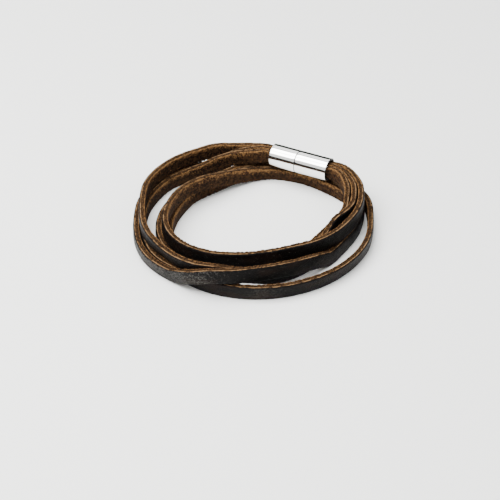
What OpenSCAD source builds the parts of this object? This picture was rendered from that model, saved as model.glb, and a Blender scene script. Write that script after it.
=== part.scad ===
// A double-wrap leather bracelet: three flat straps laid on edge, each wound twice round,
// with all their ends held in one two-part steel clasp. It lies on its side as set down.
// Lengths are millimetres. The wrap turns about the Z axis before it is centred.

/* [Straps] */
// Width of each flat strap, which stands on its edge
strap_w = 4.7; // [3.8:0.1:6]
// Thickness of each strap
strap_t = 1.9; // [1.4:0.1:2.4]
// Gap left between straps that lie together
gap = 0.15; // [0.1:0.05:0.3]
// Bevel worn on the four long edges of a strap
edge_cut = 0.25; // [0.1:0.05:0.5]

/* [Wrap] */
// Radius of the wrap, to the middle of its outer strap
loop_r = 37; // [32:1:48]

/* [Clasp] */
// Outside diameter of the clasp
clasp_d = 7.5; // [7:0.1:9]
// Diameter of the bore that takes the strap ends
bore_d = 6.2; // [5.6:0.1:6.4]
// Length of the clasp with both halves closed
clasp_len = 20; // [17:0.5:26]
// Length of the socket half
socket_len = 9; // [8:0.5:11]
// Depth of the glued strap ends inside the clasp
bore_depth = 5.5; // [4:0.5:6]
// Diameter of the spigot that centres the two halves
spigot_d = 4.4; // [3:0.1:5]
// Length of the spigot
spigot_len = 1.4; // [1:0.1:2]
// Running clearance between the spigot and its recess
spigot_gap = 0.1; // [0.05:0.05:0.2]
// Bevel on the outer rims of the clasp
rim_cut = 0.3; // [0.1:0.1:0.5]

/* [Hidden] */
$fn = 96;

lane = strap_t + gap;     // one strap further out
level = strap_w + 2 * gap; // one strap further up
section_step = 4;         // degrees of turn between two sections of a strap

// The clasp lies across the wrap on one straight line, on top of the straps under it.
clasp_reach = 0.8;        // share of loop_r from the wrap's middle to the clasp's line
clasp_facing = 63;        // direction in which that line is nearest, in degrees
clasp_slide = 2.3;        // from that nearest point to the clasp's middle, clockwise
clasp_z = level + clasp_d / 2;
clasp_off = loop_r * clasp_reach;

// The three ends share the bore: thinned, side by side, and trimmed to its round wall.
bore_fill = 0.74;         // share of the bore's width that the three ends take
bore_room = bore_d / 2 - gap;
end_t = (bore_d * bore_fill - 2 * gap) / 3;
end_lane = end_t + gap;
function end_w(side) =
    min(strap_w, 2 * sqrt(pow(bore_room, 2) - pow(abs(side) * end_lane + end_t / 2, 2)));

// A strap's route. turn is clockwise degrees from the +X side, reach a share of loop_r,
// lane and level count straps outward and upward from there, and lean tips the top edge
// outward in degrees. Straps that touch share one reach and differ by a lane.
//   turn, reach, lane, level, lean
route_outer = [
    [-20, 0.959, 0, 1.06, 0],
    [-10, 0.924, 0, 1.03, 0],
    [0, 0.886, 0, 1, 0],
    [20, 0.806, 0, 1, 0],
    [30, 0.777, 0, 1, 0],
    [40, 0.746, 0, 1, 0],
    [50, 0.716, 0, 1, 0],
    [60, 0.688, 0, 1, 0],
    [80, 0.684, 0, 1, 0],
    [100, 0.722, 0, 1, 0],
    [120, 0.776, 0, 1, 0],
    [135, 0.797, 0, 1, 0],
    [150, 0.789, 0, 1, 0],
    [165, 0.754, 0, 1, 0],
    [180, 0.708, 0, 1, 0],
    [200, 0.659, 0, 1, 0],
    [210, 0.636, 0, 1, 0],
    [220, 0.609, 0, 0.98, 0],
    [230, 0.603, 0, 0.86, 0],
    [240, 0.612, 0, 0.68, 0],
    [250, 0.638, 0, 0.48, 0],
    [260, 0.681, 0, 0.28, 0],
    [270, 0.735, 0, 0.1, -7],
    [280, 0.784, 0, 0, -13],
    [300, 0.816, 0, 0, -15],
    [320, 0.849, 0, 0, -8],
    [340, 0.959, -1, 0, 0],
    [360, 0.886, -1.07, 0, 0],
    [369, 0.848, -1.05, 0, 0],
    [372, 0.836, -1, 0.01, 0],
    [376, 0.819, -0.99, 0.14, 0],
    [380, 0.803, -1.05, 0.34, 0],
    [384, 0.791, -1.11, 0.38, 0],
    [388, 0.781, -1.14, 0.2, 0],
    [391, 0.777, -1.14, 0.06, 0],
    [394, 0.776, -1.12, 0.01, 0],
    [398, 0.776, -1.1, 0, 0],
    [402, 0.777, -1.08, 0, 2],
    [410, 0.784, -1.07, 0, 0],
    [420, 0.8, -1.06, 0, 0],
    [430, 0.826, -1.1, 0.03, 0],
    [440, 0.865, -1.35, 0.15, 0],
    [450, 0.908, -1.6, 0.4, 0],
    [460, 0.954, -1.5, 0.72, 0],
    [470, 1, -1.45, 0.97, 8],
    [480, 1.014, -1.1, 1.03, 15],
    [490, 0.951, 0, 1.03, 20],
    [500, 0.941, 0, 1.03, 20],
    [510, 0.941, 0, 1.03, 12],
    [520, 0.938, 0, 1.01, 6],
    [540, 0.927, 0, 1, 0],
    [550, 0.941, 0, 1, 0],
    [560, 0.965, 0, 1, 0],
    [570, 0.976, 0, 1, 0],
    [580, 0.981, 0, 1.02, 0],
    [590, 0.978, 0, 1.05, 0],
    [600, 0.9, 1.28, 1.05, 0],
    [610, 0.86, 2.18, 1.05, 0],
    [620, 0.824, 2.13, 1.06, 0],
    [630, 0.808, 2, 1.1, 0]
];
route_middle = [
    [-20, 0.959, -1.03, 1.06, 0],
    [-10, 0.924, -1.1, 1.04, 0],
    [0, 0.886, -1.14, 1.02, 0],
    [5, 0.865, -1.36, 1.03, 0],
    [10, 0.844, -1.68, 1.03, 0],
    [15, 0.823, -2.06, 0.95, 0],
    [20, 0.803, -2.13, 0.68, 0],
    [26, 0.784, -2.1, 0.38, 0],
    [32, 0.763, -1.98, 0.14, 0],
    [40, 0.741, -1.5, 0.02, 0],
    [50, 0.713, -0.92, 0, 0],
    [60, 0.686, -0.5, 0, 0],
    [80, 0.684, -0.25, 0, 0],
    [100, 0.722, 0.15, 0, 0],
    [120, 0.776, 0.4, 0, 0],
    [135, 0.797, 0.4, 0, 0],
    [150, 0.789, 0.6, 0, 0],
    [165, 0.754, 0.95, 0, 0],
    [180, 0.708, 1.3, 0, 0],
    [200, 0.659, 1.55, 0, 0],
    [220, 0.605, 2.05, 0, 0],
    [240, 0.611, 2.1, 0, 0],
    [250, 0.638, 2.14, 0, 0],
    [260, 0.681, 2.24, 0, -2],
    [270, 0.738, 2.26, 0, -8],
    [280, 0.784, 2.1, 0, -15],
    [300, 0.816, 2.1, 0, -15],
    [320, 0.849, 2.1, 0, -8],
    [340, 0.959, 1.05, 0, 0],
    [360, 0.986, 0, 0, 0],
    [380, 0.984, 0, 0, 6],
    [395, 0.981, 0, 0, 12],
    [420, 0.976, 0, 0, 10],
    [450, 0.97, 0, 0, 10],
    [470, 0.951, 0, 0, 6],
    [480, 0.938, 0, 0, 10],
    [490, 0.93, 0, 0, 12],
    [500, 0.94, 0, 0, 14],
    [510, 0.943, 0, 0, 12],
    [520, 0.932, 0, 0, 6],
    [530, 0.927, 0, 0, 0],
    [540, 0.924, 0, 0, 0],
    [560, 0.938, 0, 0, 0],
    [570, 0.941, 0, 0, -3],
    [580, 0.946, 0, 0, -6],
    [590, 0.93, 0, 0.02, -8],
    [600, 0.892, 0, 0.26, -7],
    [610, 0.86, 0, 0.66, -4],
    [620, 0.824, 0, 1, -2],
    [630, 0.808, 0, 1.1, 0]
];
route_inner = [
    [-20, 0.959, -2.06, 1.06, 0],
    [-10, 0.924, -2.2, 0.9, 0],
    [0, 0.886, -2.28, 0.62, 0],
    [5, 0.865, -2.56, 0.46, 0],
    [10, 0.844, -2.92, 0.3, 0],
    [15, 0.823, -3.25, 0.14, 0],
    [20, 0.803, -3.29, 0.05, 0],
    [30, 0.77, -3.1, 0, 0],
    [40, 0.741, -2.6, 0, 0],
    [50, 0.713, -1.98, 0, 0],
    [60, 0.686, -1.6, 0, 0],
    [80, 0.684, -1.3, 0, 0],
    [100, 0.722, -0.9, 0, 0],
    [120, 0.776, -0.9, 0, 0],
    [135, 0.797, -1, 0, 0],
    [150, 0.789, -0.9, 0, 0],
    [165, 0.754, -0.7, 0, 0],
    [180, 0.708, -0.45, 0, 0],
    [200, 0.659, -0.05, 0, 0],
    [210, 0.638, 0.3, 0, 0],
    [220, 0.605, 1, 0, 0],
    [230, 0.603, 1, 0, 0],
    [240, 0.611, 1, 0, 0],
    [250, 0.638, 1.06, 0, 0],
    [260, 0.681, 1.14, 0, -2],
    [270, 0.738, 1.13, 0, -8],
    [280, 0.784, 1.05, 0, -15],
    [300, 0.816, 1.05, 0, -15],
    [320, 0.849, 1.05, 0, -8],
    [340, 0.959, 0, 0, 0],
    [360, 0.886, 0, 0, 0],
    [372, 0.838, 0.04, 0, 0],
    [380, 0.814, 0.02, 0, 0],
    [388, 0.802, -0.03, 0, 0],
    [394, 0.799, 0, 0, 0],
    [398, 0.798, 0, 0.01, 0],
    [400, 0.798, 0, 0.04, 0],
    [403, 0.7975, 0, 0.15, 0],
    [407, 0.798, 0, 0.29, 0],
    [412, 0.8005, 0, 0.42, 0],
    [420, 0.8085, 0, 0.58, 0],
    [428, 0.826, 0, 0.72, 0],
    [440, 0.865, 0, 0.91, 0],
    [450, 0.908, 0, 1.01, 0],
    [460, 0.954, 0, 1.03, 0],
    [470, 1, 0, 1.03, 4],
    [480, 1.016, 0, 0.62, 10],
    [490, 0.991, 0, 0.08, 12],
    [500, 0.997, 0, 0, 14],
    [510, 1.003, 0, 0, 12],
    [520, 0.995, 0, 0, 6],
    [530, 0.984, 0, 0, 0],
    [540, 0.978, 0, 0, 0],
    [560, 0.938, 1.05, 0, 0],
    [570, 0.941, 1.05, 0, -3],
    [580, 0.946, 1.05, 0, -6],
    [590, 0.93, 1.1, 0, -8],
    [600, 0.892, 1.15, 0, -7],
    [610, 0.86, 1.14, 0.2, -4],
    [620, 0.824, 1.08, 0.8, -2],
    [630, 0.808, 1, 1.1, 0]
];

// A route row as the strap's middle: [turn, radius, height, lean, width, thickness]
function placed(row) = [
    row[0],
    loop_r * row[1] + lane * row[2],
    level * row[3] + strap_w / 2 * cos(row[4]) + strap_t / 2 * abs(sin(row[4])),
    row[4], strap_w, strap_t
];

// The same six values for a point on the clasp's line, along = mm clockwise from its middle
function on_clasp(along, side, width, wraps) = let(
    off = clasp_off + side * end_lane,
    run = clasp_slide + along
) [wraps * 360 - clasp_facing + atan2(run, off), norm([off, run]), clasp_z, 0, width,
   end_t];

// The whole route: from inside the right-hand bore, twice round, into the left-hand bore.
// The two sides say which place of the bore each end takes: 1 outer, 0 middle, -1 inner.
lead = 1;                 // straight run outside each mouth of the clasp
function whole_route(route, first_side, last_side) = let(
    mouth = clasp_len / 2,
    first_w = end_w(first_side),
    last_w = end_w(last_side),
    first_lead_w = (first_w + strap_w) / 2,
    last_lead_w = (last_w + strap_w) / 2
) concat(
    [on_clasp(mouth - bore_depth, first_side, first_w, 0),
     on_clasp(mouth, first_side, first_w, 0),
     on_clasp(mouth + lead, first_side, first_lead_w, 0)],
    [for (row = route) placed(row)],
    [on_clasp(-mouth - lead, last_side, last_lead_w, 2),
     on_clasp(-mouth, last_side, last_w, 2),
     on_clasp(bore_depth - mouth, last_side, last_w, 2)]
);

// Smooth curve through the rows: cubic pieces whose slopes average their neighbours'
function span(rows, i) = rows[i + 1][0] - rows[i][0];
function rise(rows, i) = (rows[i + 1] - rows[i]) / span(rows, i);
function slope(rows, i) = i == 0 ? rise(rows, 0)
    : i == len(rows) - 1 ? rise(rows, i - 1)
    : (rise(rows, i - 1) * span(rows, i) + rise(rows, i) * span(rows, i - 1))
        / (span(rows, i - 1) + span(rows, i));
function piece(rows, turn, i) =
    i >= len(rows) - 2 || turn < rows[i + 1][0] ? i : piece(rows, turn, i + 1);
function at_turn(rows, turn) = let(
    i = piece(rows, turn, 0),
    h = span(rows, i),
    t = (turn - rows[i][0]) / h
) (2 * t * t * t - 3 * t * t + 1) * rows[i] + (t * t * t - 2 * t * t + t) * h * slope(rows, i)
    + (3 * t * t - 2 * t * t * t) * rows[i + 1] + (t * t * t - t * t) * h * slope(rows, i + 1);

function spot(state) = [state[1] * cos(state[0]), -state[1] * sin(state[0]), state[2]];

// The bevelled rectangle of a strap's section, across (x) and up (y)
function outline(w, t, cut) = [
    [t / 2, w / 2 - cut], [t / 2 - cut, w / 2], [cut - t / 2, w / 2], [-t / 2, w / 2 - cut],
    [-t / 2, cut - w / 2], [cut - t / 2, -w / 2], [t / 2 - cut, -w / 2], [t / 2, cut - w / 2]
];

function strap_section(rows, turn) = let(
    state = at_turn(rows, turn),
    way = spot(at_turn(rows, turn + 0.5)) - spot(at_turn(rows, turn - 0.5)),
    along = way / norm(way),
    flat = [-along[1], along[0], 0],
    outward = flat / norm(flat),
    upward = cross(along, outward),
    tall = upward * cos(state[3]) + outward * sin(state[3]),
    across = outward * cos(state[3]) - upward * sin(state[3])
) [for (p = outline(state[4], state[5], edge_cut)) spot(state) + across * p[0] + tall * p[1]];

function strap_sections(rows) = let(
    first = rows[0][0],
    last = rows[len(rows) - 1][0],
    count = ceil((last - first) / section_step)
) [for (i = [0:count]) strap_section(rows, first + (last - first) * i / count)];

outer_sections = strap_sections(whole_route(route_outer, 1, 1));
middle_sections = strap_sections(whole_route(route_middle, 0, -1));
inner_sections = strap_sections(whole_route(route_inner, -1, 0));

// The middle of the wrap's box and its lowest point, to stand the part on its origin
all_points = [for (s = [outer_sections, middle_sections, inner_sections]) for (ring = s)
    for (p = ring) p];
mid_x = (max([for (p = all_points) p[0]]) + min([for (p = all_points) p[0]])) / 2;
mid_y = (max([for (p = all_points) p[1]]) + min([for (p = all_points) p[1]])) / 2;
low_z = min([for (p = all_points) p[2]]);

module centred() translate([-mid_x, -mid_y, -low_z]) children();

module strap(sections) {
    n = len(sections[0]);
    last = len(sections) - 1;
    points = [for (ring = sections) for (p = ring) p];
    sides = [for (i = [0:last - 1]) for (j = [0:n - 1])
        let(k = (j + 1) % n)
        [i * n + j, (i + 1) * n + j, (i + 1) * n + k, i * n + k]];
    start_cap = [for (j = [0:n - 1]) j];
    end_cap = [for (j = [n - 1:-1:0]) last * n + j];
    polyhedron(points, concat(sides, [start_cap, end_cap]), convexity = 10);
}

// Lays a shape that runs along +Z onto the clasp's line, z = 0 at the clasp's left mouth
module on_clasp_line() rotate([0, 0, clasp_facing])
    translate([clasp_off, clasp_len / 2 - clasp_slide, clasp_z]) rotate([90, 0, 0]) children();

module strap_outer() color("#2e1c14") centred() strap(outer_sections);
module strap_middle() color("#3a2418") centred() strap(middle_sections);
module strap_inner() color("#4a3020") centred() strap(inner_sections);

// One half's outer tube with a bevel round its mouth, the mouth at z = 0
module clasp_shell(long) rotate_extrude() polygon([
    [0, 0], [clasp_d / 2 - rim_cut, 0], [clasp_d / 2, rim_cut], [clasp_d / 2, long],
    [0, long]
]);

overcut = 1;              // how far a cutter reaches past the face that it opens
spigot_root = 0.5;        // length of the spigot that is sunk in its own half

module strap_bore() translate([0, 0, -overcut])
    cylinder(d = bore_d, h = bore_depth + gap + overcut);

module clasp_socket() color("#c9cbcd") centred() on_clasp_line() difference() {
    clasp_shell(socket_len);
    strap_bore();
    translate([0, 0, socket_len - spigot_len - spigot_gap])
        cylinder(d = spigot_d + 2 * spigot_gap, h = spigot_len + spigot_gap + overcut);
}

plug_len = clasp_len - socket_len;
module clasp_plug() color("#d6d8da") centred() on_clasp_line()
    translate([0, 0, clasp_len]) mirror([0, 0, 1]) {
        difference() {
            clasp_shell(plug_len);
            strap_bore();
        }
        translate([0, 0, plug_len - spigot_root])
            cylinder(d = spigot_d, h = spigot_len + spigot_root);
    }

strap_outer();
strap_middle();
strap_inner();
clasp_socket();
clasp_plug();
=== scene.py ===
import math
import bpy
import numpy as np
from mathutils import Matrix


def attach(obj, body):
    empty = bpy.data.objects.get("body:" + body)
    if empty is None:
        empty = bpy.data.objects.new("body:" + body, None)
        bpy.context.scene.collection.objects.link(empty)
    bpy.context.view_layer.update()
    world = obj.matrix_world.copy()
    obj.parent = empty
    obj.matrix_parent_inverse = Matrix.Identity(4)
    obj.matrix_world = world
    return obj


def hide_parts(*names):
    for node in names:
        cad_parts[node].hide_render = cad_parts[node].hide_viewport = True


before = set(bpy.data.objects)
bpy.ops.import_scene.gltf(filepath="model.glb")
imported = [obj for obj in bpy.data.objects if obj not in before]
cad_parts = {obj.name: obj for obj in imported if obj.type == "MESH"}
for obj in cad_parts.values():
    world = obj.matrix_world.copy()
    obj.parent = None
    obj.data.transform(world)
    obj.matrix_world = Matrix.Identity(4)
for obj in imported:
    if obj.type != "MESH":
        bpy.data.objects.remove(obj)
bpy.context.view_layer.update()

# A double-wrap leather bracelet lying on its side. Lengths here are millimetres until
# a mesh is made; toMetres turns them. The straps follow the same rows as the solids.
toMetres = 0.001

straps = {
    "width": 4.7,            # of the flat strap, which stands on its edge
    "thickness": 1.9,
    "gap": 0.15,             # between straps that lie together
    "bevel": 0.25,           # on the solids' edges, used only to find the wrap's middle
    "corner": 0.34,          # rounding of the four long edges
    "loopRadius": 37.0,
    "sectionStep": 4.0,      # degrees between the solids' sections
    "wayStep": 0.5,          # degrees on each side of a section that give its direction
    "sectionLength": 0.3,    # along the strap, between sections of the finished mesh
    "measuredPoints": 4000,  # along a strap, to find its length
    "facePoints": 13,        # round a section: on a wide face,
    "edgePoints": 9,         # on a cut edge
    "cornerPoints": 6,       # and on a rounded corner
    "crown": 0.06,           # how far the grain face swells in its middle
    "fuzzFade": 0.18,        # how fast the fuzz fades across the cut edge
    "edgeRoom": 0.8,         # how much further a cut edge may roughen than a wide face
    "facingShares": (0.7, 0.3),   # of place and normal in the value that tells the faces apart
    "riseShares": (0.85, 0.15),   # of place and normal in the value that tells the edges apart
}

clasp = {
    "diameter": 7.5,
    "bore": 6.2,
    "length": 20.0,
    "socketLength": 9.0,
    "boreDepth": 5.5,
    "spigotDiameter": 4.4,
    "spigotLength": 1.4,
    "spigotGap": 0.1,
    "rim": 0.3,              # rounding of the mouths
    "seamRim": 0.26,         # rounding where the halves meet
    "darkFrom": 0.05,        # depth below the outside at which the steel turns dark: patina and painted shade
    "reach": 0.8,            # share of loopRadius from the wrap's middle to the clasp's line
    "facing": 63.0,          # direction in which that line is nearest, degrees
    "slide": 2.3,            # from that nearest point to the clasp's middle, clockwise
    "fill": 0.74,            # share of the bore's width that the three ends take
    "lead": 1.0,             # straight run of strap outside each mouth
    "facets": 192,           # round the tube
    "floorRound": 0.2,       # rounding at the bottom of the bore
    "boreRound": 0.12,       # rounding where the bore meets the mouth
    "spigotRound": 0.15,     # rounding of the spigot's tip
    "loopFrom": 1.0,         # from each end of the outside to its nearest loop of edges
    "seamLoop": (0.2, 0.1),  # the same beside the spigot, across and along
    "sharpFrom": 35.0,       # degrees between faces from which an edge is sharp
}

lane = straps["thickness"] + straps["gap"]
level = straps["width"] + 2 * straps["gap"]
claspHeight = level + clasp["diameter"] / 2
claspOff = straps["loopRadius"] * clasp["reach"]
endThickness = (clasp["bore"] * clasp["fill"] - 2 * straps["gap"]) / 3
endLane = endThickness + straps["gap"]

# Each row: turn (degrees clockwise from the +X side), reach (share of loopRadius), lanes
# (straps further out), levels (straps further up), lean (degrees, top edge outward).
outerRoute = np.array([
    [-20, 0.959, 0, 1.06, 0], [-10, 0.924, 0, 1.03, 0], [0, 0.886, 0, 1, 0],
    [20, 0.806, 0, 1, 0], [30, 0.777, 0, 1, 0], [40, 0.746, 0, 1, 0], [50, 0.716, 0, 1, 0],
    [60, 0.688, 0, 1, 0], [80, 0.684, 0, 1, 0], [100, 0.722, 0, 1, 0], [120, 0.776, 0, 1, 0],
    [135, 0.797, 0, 1, 0], [150, 0.789, 0, 1, 0], [165, 0.754, 0, 1, 0], [180, 0.708, 0, 1, 0],
    [200, 0.659, 0, 1, 0], [210, 0.636, 0, 1, 0], [220, 0.609, 0, 0.98, 0],
    [230, 0.603, 0, 0.86, 0], [240, 0.612, 0, 0.68, 0], [250, 0.638, 0, 0.48, 0],
    [260, 0.681, 0, 0.28, 0], [270, 0.735, 0, 0.1, -7], [280, 0.784, 0, 0, -13],
    [300, 0.816, 0, 0, -15], [320, 0.849, 0, 0, -8], [340, 0.959, -1, 0, 0],
    [360, 0.886, -1.07, 0, 0], [369, 0.848, -1.05, 0, 0], [372, 0.836, -1, 0.01, 0],
    [376, 0.819, -0.99, 0.14, 0], [380, 0.803, -1.05, 0.34, 0], [384, 0.791, -1.11, 0.38, 0],
    [388, 0.781, -1.14, 0.2, 0], [391, 0.777, -1.14, 0.06, 0], [394, 0.776, -1.12, 0.01, 0],
    [398, 0.776, -1.1, 0, 0], [402, 0.777, -1.08, 0, 2], [410, 0.784, -1.07, 0, 0],
    [420, 0.8, -1.06, 0, 0], [430, 0.826, -1.1, 0.03, 0], [440, 0.865, -1.35, 0.15, 0],
    [450, 0.908, -1.6, 0.4, 0], [460, 0.954, -1.5, 0.72, 0], [470, 1, -1.45, 0.97, 8],
    [480, 1.014, -1.1, 1.03, 15], [490, 0.951, 0, 1.03, 20], [500, 0.941, 0, 1.03, 20],
    [510, 0.941, 0, 1.03, 12], [520, 0.938, 0, 1.01, 6], [540, 0.927, 0, 1, 0],
    [550, 0.941, 0, 1, 0], [560, 0.965, 0, 1, 0], [570, 0.976, 0, 1, 0],
    [580, 0.981, 0, 1.02, 0], [590, 0.978, 0, 1.05, 0], [600, 0.9, 1.28, 1.05, 0],
    [610, 0.86, 2.18, 1.05, 0], [620, 0.824, 2.13, 1.06, 0], [630, 0.808, 2, 1.1, 0],
])
middleRoute = np.array([
    [-20, 0.959, -1.03, 1.06, 0], [-10, 0.924, -1.1, 1.04, 0], [0, 0.886, -1.14, 1.02, 0],
    [5, 0.865, -1.36, 1.03, 0], [10, 0.844, -1.68, 1.03, 0], [15, 0.823, -2.06, 0.95, 0],
    [20, 0.803, -2.13, 0.68, 0], [26, 0.784, -2.1, 0.38, 0], [32, 0.763, -1.98, 0.14, 0],
    [40, 0.741, -1.5, 0.02, 0], [50, 0.713, -0.92, 0, 0], [60, 0.686, -0.5, 0, 0],
    [80, 0.684, -0.25, 0, 0], [100, 0.722, 0.15, 0, 0], [120, 0.776, 0.4, 0, 0],
    [135, 0.797, 0.4, 0, 0], [150, 0.789, 0.6, 0, 0], [165, 0.754, 0.95, 0, 0],
    [180, 0.708, 1.3, 0, 0], [200, 0.659, 1.55, 0, 0], [220, 0.605, 2.05, 0, 0],
    [240, 0.611, 2.1, 0, 0], [250, 0.638, 2.14, 0, 0], [260, 0.681, 2.24, 0, -2],
    [270, 0.738, 2.26, 0, -8], [280, 0.784, 2.1, 0, -15], [300, 0.816, 2.1, 0, -15],
    [320, 0.849, 2.1, 0, -8], [340, 0.959, 1.05, 0, 0], [360, 0.986, 0, 0, 0],
    [380, 0.984, 0, 0, 6], [395, 0.981, 0, 0, 12], [420, 0.976, 0, 0, 10],
    [450, 0.97, 0, 0, 10], [470, 0.951, 0, 0, 6], [480, 0.938, 0, 0, 10], [490, 0.93, 0, 0, 12],
    [500, 0.94, 0, 0, 14], [510, 0.943, 0, 0, 12], [520, 0.932, 0, 0, 6], [530, 0.927, 0, 0, 0],
    [540, 0.924, 0, 0, 0], [560, 0.938, 0, 0, 0], [570, 0.941, 0, 0, -3],
    [580, 0.946, 0, 0, -6], [590, 0.93, 0, 0.02, -8], [600, 0.892, 0, 0.26, -7],
    [610, 0.86, 0, 0.66, -4], [620, 0.824, 0, 1, -2], [630, 0.808, 0, 1.1, 0],
])
innerRoute = np.array([
    [-20, 0.959, -2.06, 1.06, 0], [-10, 0.924, -2.2, 0.9, 0], [0, 0.886, -2.28, 0.62, 0],
    [5, 0.865, -2.56, 0.46, 0], [10, 0.844, -2.92, 0.3, 0], [15, 0.823, -3.25, 0.14, 0],
    [20, 0.803, -3.29, 0.05, 0], [30, 0.77, -3.1, 0, 0], [40, 0.741, -2.6, 0, 0],
    [50, 0.713, -1.98, 0, 0], [60, 0.686, -1.6, 0, 0], [80, 0.684, -1.3, 0, 0],
    [100, 0.722, -0.9, 0, 0], [120, 0.776, -0.9, 0, 0], [135, 0.797, -1, 0, 0],
    [150, 0.789, -0.9, 0, 0], [165, 0.754, -0.7, 0, 0], [180, 0.708, -0.45, 0, 0],
    [200, 0.659, -0.05, 0, 0], [210, 0.638, 0.3, 0, 0], [220, 0.605, 1, 0, 0],
    [230, 0.603, 1, 0, 0], [240, 0.611, 1, 0, 0], [250, 0.638, 1.06, 0, 0],
    [260, 0.681, 1.14, 0, -2], [270, 0.738, 1.13, 0, -8], [280, 0.784, 1.05, 0, -15],
    [300, 0.816, 1.05, 0, -15], [320, 0.849, 1.05, 0, -8], [340, 0.959, 0, 0, 0],
    [360, 0.886, 0, 0, 0], [372, 0.838, 0.04, 0, 0], [380, 0.814, 0.02, 0, 0],
    [388, 0.802, -0.03, 0, 0], [394, 0.799, 0, 0, 0], [398, 0.798, 0, 0.01, 0],
    [400, 0.798, 0, 0.04, 0], [403, 0.7975, 0, 0.15, 0], [407, 0.798, 0, 0.29, 0],
    [412, 0.8005, 0, 0.42, 0], [420, 0.8085, 0, 0.58, 0], [428, 0.826, 0, 0.72, 0],
    [440, 0.865, 0, 0.91, 0], [450, 0.908, 0, 1.01, 0], [460, 0.954, 0, 1.03, 0],
    [470, 1, 0, 1.03, 4], [480, 1.016, 0, 0.62, 10], [490, 0.991, 0, 0.08, 12],
    [500, 0.997, 0, 0, 14], [510, 1.003, 0, 0, 12], [520, 0.995, 0, 0, 6],
    [530, 0.984, 0, 0, 0], [540, 0.978, 0, 0, 0], [560, 0.938, 1.05, 0, 0],
    [570, 0.941, 1.05, 0, -3], [580, 0.946, 1.05, 0, -6], [590, 0.93, 1.1, 0, -8],
    [600, 0.892, 1.15, 0, -7], [610, 0.86, 1.14, 0.2, -4], [620, 0.824, 1.08, 0.8, -2],
    [630, 0.808, 1, 1.1, 0],
])


def endWidth(side):
    # a strap end is trimmed to the chord that the bore's round wall leaves it
    room = clasp["bore"] / 2 - straps["gap"]
    out = abs(side) * endLane + endThickness / 2
    return min(straps["width"], 2 * math.sqrt(room**2 - out**2))


def claspRow(along, side, width, wraps):
    # a point beside the clasp's line as turn and radius, along from the clasp's middle
    off = claspOff + side * endLane
    run = clasp["slide"] + along
    turn = wraps * 360 - clasp["facing"] + math.degrees(math.atan2(run, off))
    return [turn, math.hypot(off, run), claspHeight, 0, width, endThickness]


def placedRows(route):
    # radius = loopRadius * reach + lane * lanes; middle height = level * levels + half the
    # height of the leaning section
    lean = np.radians(route[:, 4])
    radius = straps["loopRadius"] * route[:, 1] + lane * route[:, 2]
    height = (level * route[:, 3] + straps["width"] / 2 * np.cos(lean)
              + straps["thickness"] / 2 * np.abs(np.sin(lean)))
    same = np.ones(len(route))
    return np.stack([route[:, 0], radius, height, route[:, 4],
                     straps["width"] * same, straps["thickness"] * same], 1)


def wholeRoute(route, firstSide, lastSide):
    # from inside the right-hand bore, twice round, into the left-hand bore
    mouth = clasp["length"] / 2
    firstWidth, lastWidth = endWidth(firstSide), endWidth(lastSide)
    start = [claspRow(mouth - clasp["boreDepth"], firstSide, firstWidth, 0),
             claspRow(mouth, firstSide, firstWidth, 0),
             claspRow(mouth + clasp["lead"], firstSide, (firstWidth + straps["width"]) / 2, 0)]
    end = [claspRow(-mouth - clasp["lead"], lastSide, (lastWidth + straps["width"]) / 2, 2),
           claspRow(-mouth, lastSide, lastWidth, 2),
           claspRow(clasp["boreDepth"] - mouth, lastSide, lastWidth, 2)]
    return np.concatenate([start, placedRows(route), end])


def atTurns(rows, turns):
    # cubic pieces through the rows; each inner slope is the mean of its two chords' slopes,
    # each weighted by the other's span
    x = rows[:, 0]
    span = np.diff(x)
    rise = np.diff(rows, axis=0) / span[:, None]
    both = (span[1:] + span[:-1])[:, None]
    inner = (rise[:-1] * span[1:, None] + rise[1:] * span[:-1, None]) / both
    slope = np.concatenate([rise[:1], inner, rise[-1:]])
    i = np.clip(np.searchsorted(x, turns, side="right") - 1, 0, len(x) - 2)
    h = span[i][:, None]
    t = ((turns - x[i])[:, None]) / h
    return ((2 * t**3 - 3 * t**2 + 1) * rows[i] + (t**3 - 2 * t**2 + t) * h * slope[i]
            + (3 * t**2 - 2 * t**3) * rows[i + 1] + (t**3 - t**2) * h * slope[i + 1])


def spots(states):
    # turn, radius and height as x, y and z
    turn = np.radians(states[:, 0])
    return np.stack([states[:, 1] * np.cos(turn), -states[:, 1] * np.sin(turn), states[:, 2]], 1)


def sectionFrames(rows, turns):
    # centre of each section, and its directions across and up the strap: the level outward
    # direction and the one square to it and to the way, both turned by the lean
    states = atTurns(rows, turns)
    step = straps["wayStep"]
    way = spots(atTurns(rows, turns + step)) - spots(atTurns(rows, turns - step))
    way /= np.linalg.norm(way, axis=1)[:, None]
    flat = np.stack([-way[:, 1], way[:, 0], np.zeros(len(turns))], 1)
    outward = flat / np.linalg.norm(flat, axis=1)[:, None]
    upward = np.cross(way, outward)
    lean = np.radians(states[:, 3])[:, None]
    tall = upward * np.cos(lean) + outward * np.sin(lean)
    across = outward * np.cos(lean) - upward * np.sin(lean)
    return spots(states), across, tall, states[:, 4], states[:, 5]


strapRows = {
    "strap_outer": wholeRoute(outerRoute, 1, 1),
    "strap_middle": wholeRoute(middleRoute, 0, -1),
    "strap_inner": wholeRoute(innerRoute, -1, 0),
}


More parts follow.
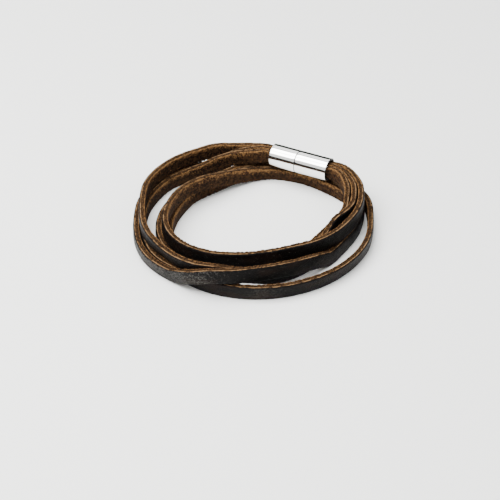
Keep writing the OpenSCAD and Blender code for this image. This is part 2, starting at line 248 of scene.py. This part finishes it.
def wrapMiddle():
    # the middle and lowest point of the solids' bevelled sections, which the part stands on
    found = []
    for rows in strapRows.values():
        first, last = rows[0, 0], rows[-1, 0]
        turns = np.linspace(first, last, math.ceil((last - first) / straps["sectionStep"]) + 1)
        centre, across, tall, width, thick = sectionFrames(rows, turns)
        bevel = straps["bevel"]
        for cutX, cutY in ((0, bevel), (bevel, 0)):
            for signX in (-1, 1):
                for signY in (-1, 1):
                    x, y = signX * (thick / 2 - cutX), signY * (width / 2 - cutY)
                    found.append(centre + across * x[:, None] + tall * y[:, None])
    found = np.concatenate(found)
    low, high = found.min(0), found.max(0)
    return np.array([(low[0] + high[0]) / 2, (low[1] + high[1]) / 2, low[2]])


middle = wrapMiddle()
print("wrap middle", middle.round(3))


strapRipples = {  # height, shortest wave and longest wave in mm, and number of waves
    "cutEdge": (0.06, 0.35, 3.0, 22),
    "fuzz": (0.24, 0.45, 1.6, 14),      # the ragged line where suede meets the cut edge
    "suede": (0.035, 0.5, 3.0, 22),
    "grain": (0.0175, 1.2, 9.0, 22),
}
cutShift, fuzzShift = 40, 9  # so that the upper and the lower edge ripple differently


def ripple(kind, where, along, across, seed):
    # height times where times a sum of sine waves with random directions and phases
    height, shortest, longest, waves = strapRipples[kind]
    rng = np.random.default_rng(seed)
    total = np.zeros(np.broadcast(along, across).shape)
    for size in np.geomspace(shortest, longest, waves):
        heading, phase = rng.uniform(0, math.pi), rng.uniform(0, 2 * math.pi)
        forward = along * math.cos(heading) + across * math.sin(heading)
        total += np.sin(2 * math.pi / size * forward + phase)
    return height * where * (total / math.sqrt(waves))


def sectionProfile():
    # once round a rounded rectangle: four straight sides joined by quarter circles. Each
    # point is (share of the flat half-size in x and y, unit normal in x and y).
    points = []
    corners = ((1, -1), (1, 1), (-1, 1), (-1, -1), (1, -1))
    normals = ((1, 0), (0, 1), (-1, 0), (0, -1))
    for k, normal in enumerate(normals):
        (fromX, fromY), (toX, toY) = corners[k:k + 2]
        count = straps["facePoints"] if k % 2 == 0 else straps["edgePoints"]
        for t in np.linspace(0, 1, count):
            points.append((fromX + (toX - fromX) * t, fromY + (toY - fromY) * t, *normal))
        for a in np.linspace(0, math.pi / 2, straps["cornerPoints"])[1:-1]:
            turned = math.radians(90 * k) + a
            points.append((toX, toY, math.cos(turned), math.sin(turned)))
    return np.array(points)


def tubeFaces(rings, around, start, firstPole, lastPole):
    # quads between neighbouring rings of points, from point start on, and a fan from each
    # end ring to its pole
    j = np.arange(around)
    nextJ = (j + 1) % around
    base = start + np.arange(rings - 1)[:, None] * around
    quads = np.stack([base + j, base + nextJ, base + around + nextJ, base + around + j], -1)
    lastRing = start + (rings - 1) * around
    startFan = np.stack([np.full(around, firstPole), start + nextJ, start + j], 1)
    endFan = np.stack([np.full(around, lastPole), lastRing + j, lastRing + nextJ], 1)
    return quads.reshape(-1, 4).tolist() + startFan.tolist() + endFan.tolist()


def addMesh(name, verts, faces, values):
    # values are attributes of the points, a number or a vector each, which the materials read
    mesh = bpy.data.meshes.new(name)
    mesh.from_pydata(verts.tolist(), [], faces)
    for key, data in values.items():
        kind, field = ("FLOAT_VECTOR", "vector") if data.ndim == 2 else ("FLOAT", "value")
        layer = mesh.attributes.new(key, kind, "POINT")
        layer.data.foreach_set(field, data.astype(np.float32).ravel())
    mesh.validate()
    mesh.update()
    piece = bpy.data.objects.new(name, mesh)
    bpy.context.scene.collection.objects.link(piece)
    mesh.shade_smooth()
    return piece


def makeStrap(name, rows, seed):
    # the section's profile carried along the route: point = centre + across * x + tall * y,
    # with the edges and the faces roughened along their normals
    evenTurns = np.linspace(rows[0, 0], rows[-1, 0], straps["measuredPoints"])
    steps = np.linalg.norm(np.diff(spots(atTurns(rows, evenTurns)), axis=0), axis=1)
    measured = np.concatenate([[0], np.cumsum(steps)])
    length = measured[-1]
    count = int(length / straps["sectionLength"])
    along = np.linspace(0, length, count)
    turns = np.interp(along, measured, evenTurns)
    centre, across, tall, width, thick = sectionFrames(rows, turns)
    profile = sectionProfile()
    flatX, flatY, normalX, normalY = profile.T[:, None, :]
    corner = straps["corner"]
    halfThick, halfWidth = (thick / 2)[:, None], (width / 2)[:, None]
    s = along[:, None]
    x = flatX * (halfThick - corner) + normalX * corner
    y = flatY * (halfWidth - corner) + normalY * corner
    # 1 at full width, down to 0 at three quarters of it, so that the ends stay smooth
    free = np.clip((width / straps["width"])[:, None] * 4 - 3, 0, 1)
    cutEdge = np.abs(normalY) ** 2
    fuzzLine = np.exp(-((flatX + 1) ** 2) / straps["fuzzFade"]) * cutEdge
    suedeSide, grainSide = np.clip(-normalX, 0, 1), np.clip(normalX, 0, 1)
    push = (ripple("cutEdge", cutEdge, s, x + cutShift * np.sign(y), seed)
            + ripple("fuzz", fuzzLine, s, fuzzShift * np.sign(y), seed + 1)
            + ripple("suede", suedeSide, s, y, seed + 2)
            + ripple("grain", grainSide, s, y, seed + 3)
            + straps["crown"] * (normalX == 1) * (1 - flatY**2))
    room = straps["gap"] / 2 * (1 + straps["edgeRoom"] * cutEdge)
    push = np.minimum(push, room) * free
    x = x + normalX * push
    y = y + normalY * push
    points = (centre[:, None, :] + across[:, None, :] * x[:, :, None]
              + tall[:, None, :] * y[:, :, None]) - middle
    points[:, :, 2] = np.maximum(points[:, :, 2], 0)  # what rests on the floor is flattened
    poles = np.array([points[0].mean(0), points[-1].mean(0)])
    verts = np.concatenate([points.reshape(-1, 3), poles]) * toMetres
    around = len(profile)
    faces = tubeFaces(count, around, 0, count * around, count * around + 1)

    def atPoints(section):  # the section's value at every point, and 0 at the poles
        return np.concatenate([np.broadcast_to(section, x.shape).ravel(), [0, 0]])

    (facingPlace, facingNormal), (risePlace, riseNormal) = straps["facingShares"], straps["riseShares"]
    place = np.stack([np.broadcast_to(s, x.shape), y, x], -1).reshape(-1, 3)
    piece = addMesh(name, verts, faces, {
        "strapPlace": np.concatenate([place, [[0, 0, 0], [length, 0, 0]]]),  # along, up and across, mm
        "facing": atPoints(flatX * facingPlace + normalX * facingNormal),    # 1 on grain, -1 on suede
        "rise": atPoints(flatY * risePlace + normalY * riseNormal),          # 1 on the upper edge
    })
    print("made", name, "of", round(length), "mm,", len(faces), "faces")
    return piece


def latheProfile(points, facets):
    # (radius, height) points turned about the line: x = radius * cos, y = radius * sin. The
    # first and the last have no radius and are the poles.
    radius, height = np.array(points).T
    angle = np.linspace(0, 2 * math.pi, facets, endpoint=False)
    rings = len(radius) - 2
    out, up = radius[1:-1, None], height[1:-1, None]
    body = np.stack([out * np.cos(angle), out * np.sin(angle), np.broadcast_to(up, (rings, facets))], -1)
    verts = np.concatenate([[[0, 0, height[0]]], body.reshape(-1, 3), [[0, 0, height[-1]]]])
    return verts, tubeFaces(rings, facets, 1, 0, len(verts) - 1)


def roundedCorner(corner, before, after, size, steps):
    # a corner of the lathe profile rounded by a quadratic curve of the given size
    corner, before, after = (np.array(p, float) for p in (corner, before, after))
    a = corner + (before - corner) / np.linalg.norm(before - corner) * size
    b = corner + (after - corner) / np.linalg.norm(after - corner) * size
    t = np.linspace(0, 1, steps)[:, None]
    return ((1 - t) ** 2 * a + 2 * t * (1 - t) * corner + t**2 * b).tolist()


def onClaspLine(verts):
    # the lathe's axis laid along the clasp's line, height 0 at the left mouth
    facing = math.radians(clasp["facing"])
    outward = np.array([math.cos(facing), math.sin(facing), 0.0])
    along = np.array([math.sin(facing), -math.cos(facing), 0.0])
    up = np.array([0.0, 0.0, 1.0])
    start = outward * claspOff + along * (clasp["slide"] - clasp["length"] / 2) + up * claspHeight
    x, y, z = verts[:, :1], verts[:, 1:2], verts[:, 2:]
    return (start + outward * x + up * -y + along * z - middle) * toMetres


def makeClaspHalf(name, mouth, seam, spigot):
    # a tube with a bore for the straps at its mouth, and a spigot or a recess at the seam
    side = 1 if seam > mouth else -1
    outer, bore = clasp["diameter"] / 2, clasp["bore"] / 2
    floor = mouth + side * (clasp["boreDepth"] + straps["gap"])
    loop = side * clasp["loopFrom"]
    loopAcross, loopAlong = clasp["seamLoop"]
    points = [[0, floor]]
    points += roundedCorner([bore, floor], [0, floor], [bore, mouth], clasp["floorRound"], 4)
    points += roundedCorner([bore, mouth], [bore, floor], [outer, mouth], clasp["boreRound"], 5)
    points += roundedCorner([outer, mouth], [bore, mouth], [outer, seam], clasp["rim"], 8)
    points += [[outer, mouth + loop], [outer, (mouth + seam) / 2], [outer, seam - loop]]
    points += roundedCorner([outer, seam], [outer, mouth], [0, seam], clasp["seamRim"], 5)
    if spigot:
        r, tip = clasp["spigotDiameter"] / 2, seam + side * clasp["spigotLength"]
        points += [[r + loopAcross, seam], [r, seam], [r, seam + side * loopAlong]]
        points += roundedCorner([r, tip], [r, seam], [0, tip], clasp["spigotRound"], 4)
        points += [[0, tip]]
    else:
        r = clasp["spigotDiameter"] / 2 + clasp["spigotGap"]
        deep = seam - side * (clasp["spigotLength"] + clasp["spigotGap"])
        points += [[r + loopAcross, seam], [r, seam], [r, seam - side * loopAlong]]
        points += [[r, deep], [r - loopAcross, deep], [0, deep]]
    verts, faces = latheProfile(points, clasp["facets"])
    if side > 0:  # so that every face looks out of the steel
        faces = [f[::-1] for f in faces]
    radial = np.linalg.norm(verts[:, :2], axis=1)
    hollow = np.where(radial < outer - clasp["darkFrom"], 1.0, 0.0)  # bore, mouth and seam, painted dark: patina and painted shade
    piece = addMesh(name, onClaspLine(verts), faces, {"hollow": hollow})
    piece.data.set_sharp_from_angle(angle=math.radians(clasp["sharpFrom"]))
    print("made", name, len(faces), "faces")
    return piece


leatherLook = {
    "grainDark": (0.0022, 0.0018, 0.0017),
    "grainBrown": (0.0065, 0.0036, 0.0026),
    # grey specks on the grain: rubbed wear, and painted sheen
    "grainWearAndSheen": (0.048, 0.045, 0.040),
    "suedeDark": (0.0085, 0.0044, 0.0026),
    "suedeMid": (0.033, 0.0170, 0.0076),
    "suedeGold": (0.150, 0.077, 0.029),
    "suedeRed": (0.085, 0.029, 0.013),
    "cutDark": (0.0048, 0.0025, 0.0013),
    "cutMid": (0.018, 0.0090, 0.0038),
    "cutGold": (0.082, 0.0415, 0.0162),
    "cutPale": (0.175, 0.103, 0.049),
    # dark line on the cut edge beside the grain: the black rim, and painted shade between straps
    "blackRimAndGapShade": (0.0040, 0.0020, 0.0014),
    "grainShine": 0.06,        # specular level of the waxed face
    "grainRoughness": (0.48, 0.6),    # waxed, and on the grey specks of wear and painted sheen
    "suedeRoughness": 0.9,
    "wornFade": 12,            # mm from the ends of the stretch of wear and painted sheen to its full strength
    "wornShare": 0.14,         # how much denser the grey specks are there
    "broadShare": 0.06,        # and how much denser in the broad patches
    "edgeGold": 0.18,          # gold gathers at both edges of the suede,
    "upperPaintedHighlight": 0.12,         # painted highlight: more of it at the upper one, where the light falls,
    "clumpGold": 0.5,          # and in clumps
    "fibreGold": 0.35,         # golden flecks follow the fibres of the cut edge
    "wander": 0.5,             # how far the lines along the cut edge wander
    "paleShare": 0.9,
    "bump": (0.7, 0.00022),    # strength, and depth in metres
    "bumpShares": (0.3, 0.6, 1.6),    # of pores, creases and tufts
    "poresPerMm": (1.7, 1.7, 1.7),
}
leatherPatterns = {  # features per mm along, up and through the strap, detail, roughness
    "clumps": ((0.55, 0.8, 0.9), 2.0, 0.6),
    "tufts": ((1.1, 1.1, 1.4), 3.0, 0.7),
    "specks": ((2.3, 2.1, 2.6), 2.0, 0.75),
    "broad": ((0.12, 0.3, 0.3), 3.0, 0.55),
    "redness": ((1.7, 1.9, 2.2), 2.0, 0.7),
    "fibres": ((1.3, 1.0, 3.0), 4.0, 0.7),
    "creases": ((2.6, 0.5, 1.0), 3.0, 0.6),
}
leatherRamps = {  # the values between which each of these grows from nothing to full
    "grey": (0.65, 0.77),
    "brownGrain": (0.45, 0.62),
    "midSuede": (0.42, 0.58),
    "redSuede": (0.60, 0.70),
    "goldSuede": (0.90, 1.08),
    "midCut": (0.40, 0.58),
    "goldCut": (0.66, 0.86),
    "paleLine": (0.22, 0.44),
    "paleClumps": (0.36, 0.56),
    "blackRimAndGapShade": (0.62, 0.70),
    "onSuede": (-0.70, -0.82),
    "onGrain": (0.76, 0.84),
    "pores": (0.0, 0.18),
}

steelLook = {
    "color": (0.95, 0.945, 0.91),
    # dark patina and painted shade in the bores, on the mouths and in the seam
    "hollowPatinaAndShade": (0.012, 0.011, 0.010),
    "roughness": 0.05,
    "hollowRoughness": 0.5,
}


class NodeBuilder:  # short calls for the nodes used here
    def __init__(self, name):
        self.material = bpy.data.materials.new(name)
        self.material.use_nodes = True
        self.tree = self.material.node_tree
        self.shader = self.tree.nodes["Principled BSDF"]

    def plug(self, value, socket):  # a link, a colour or a number
        if isinstance(value, bpy.types.NodeSocket):
            self.tree.links.new(value, socket)
        elif socket.type == "RGBA":
            socket.default_value = (*value, 1)
        else:
            socket.default_value = value

    def attribute(self, name, output="Fac"):
        node = self.tree.nodes.new("ShaderNodeAttribute")
        node.attribute_name = name
        return node.outputs[output]

    def scaled(self, vector, stretch, offset):
        node = self.tree.nodes.new("ShaderNodeMapping")
        self.plug(vector, node.inputs["Vector"])
        node.inputs["Scale"].default_value = stretch
        node.inputs["Location"].default_value = offset
        return node.outputs[0]

    def noise(self, vector, stretch, detail, rough, offset):
        moved = self.scaled(vector, stretch, offset)
        node = self.tree.nodes.new("ShaderNodeTexNoise")
        node.inputs["Scale"].default_value = 1.0
        node.inputs["Detail"].default_value = detail
        node.inputs["Roughness"].default_value = rough
        self.plug(moved, node.inputs["Vector"])
        return node.outputs[0]

    def cells(self, vector, stretch):  # distance to the borders between random cells
        moved = self.scaled(vector, stretch, (0, 0, 0))
        node = self.tree.nodes.new("ShaderNodeTexVoronoi")
        node.feature = "DISTANCE_TO_EDGE"
        node.inputs["Scale"].default_value = 1.0
        self.plug(moved, node.inputs["Vector"])
        return node.outputs["Distance"]

    def first(self, vector):  # the vector's x, which is the distance along the strap in mm
        node = self.tree.nodes.new("ShaderNodeSeparateXYZ")
        self.plug(vector, node.inputs[0])
        return node.outputs[0]

    def ramp(self, value, low, high):  # 0 at low, 1 at high
        node = self.tree.nodes.new("ShaderNodeMapRange")
        node.interpolation_type = "SMOOTHSTEP"
        self.plug(value, node.inputs["Value"])
        node.inputs["From Min"].default_value = low
        node.inputs["From Max"].default_value = high
        return node.outputs[0]

    def math(self, kind, a, b=0.0):
        node = self.tree.nodes.new("ShaderNodeMath")
        node.operation = kind
        self.plug(a, node.inputs[0])
        self.plug(b, node.inputs[1])
        return node.outputs[0]

    def add(self, a, b):
        return self.math("ADD", a, b)

    def times(self, a, b):
        return self.math("MULTIPLY", a, b)

    def mix(self, share, a, b):  # colours
        node = self.tree.nodes.new("ShaderNodeMix")
        node.data_type = "RGBA"
        self.plug(share, node.inputs["Factor"])
        self.plug(a, node.inputs[6])
        self.plug(b, node.inputs[7])
        return node.outputs[2]

    def blend(self, share, a, b):  # numbers
        node = self.tree.nodes.new("ShaderNodeMix")
        node.data_type = "FLOAT"
        self.plug(share, node.inputs[0])
        self.plug(a, node.inputs[2])
        self.plug(b, node.inputs[3])
        return node.outputs[0]

    def bump(self, height, strength, distance):
        node = self.tree.nodes.new("ShaderNodeBump")
        node.inputs["Strength"].default_value = strength
        node.inputs["Distance"].default_value = distance
        self.plug(height, node.inputs["Height"])
        self.plug(node.outputs[0], self.shader.inputs["Normal"])


def strapLeather(name, shift, wearAndSheenStrength, worn):
    # dark grain on the outer face, suede on the inner face, raw tan on the two cut edges;
    # the last argument is the stretch of strap, in mm, whose grain gets grey specks, partly rubbed wear
    # and partly painted sheen
    look = leatherLook
    b = NodeBuilder(name)
    place = b.attribute("strapPlace", "Vector")
    facing, rise = b.attribute("facing"), b.attribute("rise")
    along = b.first(place)

    def pattern(kind, offset=shift):
        return b.noise(place, *leatherPatterns[kind], offset)

    def grown(kind, value):
        return b.ramp(value, *leatherRamps[kind])

    clumps, tufts, specks, broad = (pattern(kind) for kind in ("clumps", "tufts", "specks", "broad"))
    # grain face: brown black, with grey specks, partly rubbed wear and partly painted sheen, that gather
    # on one stretch
    (wornFrom, wornTo), fade = worn, look["wornFade"]
    wearAndSheenDensity = b.times(b.ramp(along, wornFrom, wornFrom + fade), b.ramp(along, wornTo, wornTo - fade))
    wearAndSheenDensity = b.add(b.times(wearAndSheenDensity, look["wornShare"]), b.times(broad, look["broadShare"]))
    grey = b.times(grown("grey", b.add(specks, wearAndSheenDensity)), wearAndSheenStrength)
    grain = b.mix(grown("brownGrain", broad), look["grainDark"], look["grainBrown"])
    grain = b.mix(grey, grain, look["grainWearAndSheen"])
    # suede face: mottled, golden towards its edges, with a painted highlight making the upper edge lighter
    suede = b.mix(grown("midSuede", tufts), look["suedeDark"], look["suedeMid"])
    redness = pattern("redness", [v + 5 for v in shift])
    suede = b.mix(grown("redSuede", redness), suede, look["suedeRed"])
    # gold at both edges, plus a painted highlight that makes the upper edge lighter than the lower
    edgeGoldAndTopHighlight = b.add(b.times(b.math("ABSOLUTE", rise), look["edgeGold"]), b.times(rise, look["upperPaintedHighlight"]))
    golden = b.add(b.add(edgeGoldAndTopHighlight, specks), b.times(clumps, look["clumpGold"]))
    suede = b.mix(grown("goldSuede", golden), suede, look["suedeGold"])
    # cut edge: ragged fibres with golden flecks, a pale line beside the grain side, and a dark line at the
    # grain side that is partly the black rim of the grain and partly painted shade between straps
    fibres = pattern("fibres")
    cut = b.mix(grown("midCut", fibres), look["cutDark"], look["cutMid"])
    flecks = grown("goldCut", b.add(specks, b.times(fibres, look["fibreGold"])))
    cut = b.mix(flecks, cut, look["cutGold"])
    wander = b.times(b.math("SUBTRACT", tufts, 0.5), look["wander"])
    paleLine = b.times(grown("paleLine", b.add(facing, wander)), grown("paleClumps", clumps))
    cut = b.mix(b.times(paleLine, look["paleShare"]), cut, look["cutPale"])
    # the dark line beside the grain: partly the black rim, partly painted shade between neighbouring
    # straps
    cut = b.mix(grown("blackRimAndGapShade", facing), cut, look["blackRimAndGapShade"])
    # the three together
    onSuede = grown("onSuede", b.add(facing, wander))
    onGrain = grown("onGrain", facing)
    color = b.mix(onGrain, b.mix(onSuede, cut, suede), grain)
    b.plug(color, b.shader.inputs["Base Color"])
    grainRoughness = b.blend(grey, *look["grainRoughness"])
    b.plug(b.blend(onGrain, look["suedeRoughness"], grainRoughness), b.shader.inputs["Roughness"])
    b.shader.inputs["Specular IOR Level"].default_value = look["grainShine"]
    poreShare, creaseShare, tuftShare = look["bumpShares"]
    pores = grown("pores", b.cells(place, look["poresPerMm"]))
    creases = pattern("creases")
    grainHeight = b.add(b.times(pores, poreShare), b.times(creases, creaseShare))
    nap = b.add(b.times(tufts, tuftShare), specks)
    b.bump(b.blend(onGrain, nap, grainHeight), *look["bump"])
    return b.material


def polishedSteel(name):
    # bright outside; dark in the bores, on the mouths and in the seam, partly patina and partly painted
    # shade
    look = steelLook
    b = NodeBuilder(name)
    hollow = b.attribute("hollow")
    b.plug(b.mix(hollow, look["color"], look["hollowPatinaAndShade"]), b.shader.inputs["Base Color"])
    roughness = b.blend(hollow, look["roughness"], look["hollowRoughness"])
    b.plug(roughness, b.shader.inputs["Roughness"])
    b.shader.inputs["Metallic"].default_value = 1.0
    return b.material


# seed of the ripples, place in the patterns, strength of the grey specks of wear and painted sheen, and
# where they are (mm along)
strapSettings = {
    "strap_outer": {"seed": 11, "shift": (0.0, 0.0, 0.0), "wearAndSheenStrength": 0.8, "worn": (315, 350)},
    "strap_middle": {"seed": 37, "shift": (31.0, 7.0, 3.0), "wearAndSheenStrength": 0.4, "worn": (262, 285)},
    "strap_inner": {"seed": 53, "shift": (67.0, 13.0, 9.0), "wearAndSheenStrength": 1.0, "worn": (256, 304)},
}
for node, setting in strapSettings.items():
    piece = makeStrap(node + "_leather", strapRows[node], setting["seed"])
    leather = strapLeather(node + "_finish", setting["shift"], setting["wearAndSheenStrength"], setting["worn"])
    piece.data.materials.append(leather)
    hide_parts(node)
    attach(piece, "root")

steel = polishedSteel("polished_steel")
claspHalves = (("clasp_socket", 0.0, False), ("clasp_plug", clasp["length"], True))
for node, mouth, spigot in claspHalves:
    piece = makeClaspHalf(node + "_steel", mouth, clasp["socketLength"], spigot)
    piece.data.materials.append(steel)
    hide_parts(node)
    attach(piece, "root")

studio = {
    # all in metres
    "floorSize": 6.0,
    "floorColor": (0.86, 0.865, 0.845),
    "floorRoughness": 0.9,
    "worldColor": (0.03, 0.03, 0.03),
    "panelHeight": (0.62, 0.60),  # of the wide panels, and of the bright ones below them
    # each panel's left, right, back and front edge and its brightness; the gaps between
    # panels are the dark lines in the steel
    "widePanels": (
        (-1.8, 1.8, 0.80, 0.29, 2.4),
        (-1.8, 1.8, 0.21, -0.40, 1.5),
        (-1.8, 1.8, -0.45, -1.95, 1.5),
    ),
    "brightPanels": (
        (-0.75, 0.02, 0.21, -0.045, 13.0),
        (-0.75, 0.02, -0.075, -0.40, 13.0),
    ),
    "elevation": 35.4,            # of the camera, degrees
    "distance": 0.540,
    "lens": 126.9,                # mm, on a sensor 36 mm wide
    "sensor": 36.0,
    "aimX": -0.0012,              # the point on the floor that it looks at
    "aimY": -0.0100,
}


def addFloor():
    half = studio["floorSize"] / 2
    corners = [(-half, -half, 0), (half, -half, 0), (half, half, 0), (-half, half, 0)]
    mesh = bpy.data.meshes.new("floor")
    mesh.from_pydata(corners, [], [(0, 1, 2, 3)])
    floor = bpy.data.objects.new("floor", mesh)
    bpy.context.scene.collection.objects.link(floor)
    paper = bpy.data.materials.new("pale_paper")
    paper.use_nodes = True
    shader = paper.node_tree.nodes["Principled BSDF"]
    shader.inputs["Base Color"].default_value = (*studio["floorColor"], 1)
    shader.inputs["Roughness"].default_value = studio["floorRoughness"]
    mesh.materials.append(paper)


def addPanel(name, edges, height):
    # an area light facing down; power = brightness * pi * area
    left, right, back, front, glow = edges
    light = bpy.data.lights.new(name, "AREA")
    light.shape = "RECTANGLE"
    light.size, light.size_y = right - left, back - front
    light.energy = glow * math.pi * light.size * light.size_y
    lamp = bpy.data.objects.new(name, light)
    bpy.context.scene.collection.objects.link(lamp)
    lamp.location = ((left + right) / 2, (back + front) / 2, height)


addFloor()
for kind, height in zip(("widePanels", "brightPanels"), studio["panelHeight"]):
    for k, edges in enumerate(studio[kind]):
        addPanel("%s_%d" % (kind, k + 1), edges, height)
world = bpy.data.worlds.new("studio")
world.use_nodes = True
world.node_tree.nodes["Background"].inputs[0].default_value = (*studio["worldColor"], 1)
bpy.context.scene.world = world

print("lit the studio")

tilt = math.radians(studio["elevation"])
cameraData = bpy.data.cameras.new("camera")
cameraData.lens = studio["lens"]
cameraData.sensor_width = studio["sensor"]
camera = bpy.data.objects.new("camera", cameraData)
bpy.context.scene.collection.objects.link(camera)
back, up = math.cos(tilt) * studio["distance"], math.sin(tilt) * studio["distance"]
camera.location = (studio["aimX"], studio["aimY"] - back, up)
camera.rotation_euler = (math.pi / 2 - tilt, 0, 0)
bpy.context.scene.camera = camera
print("camera", tuple(round(v, 4) for v in camera.location))
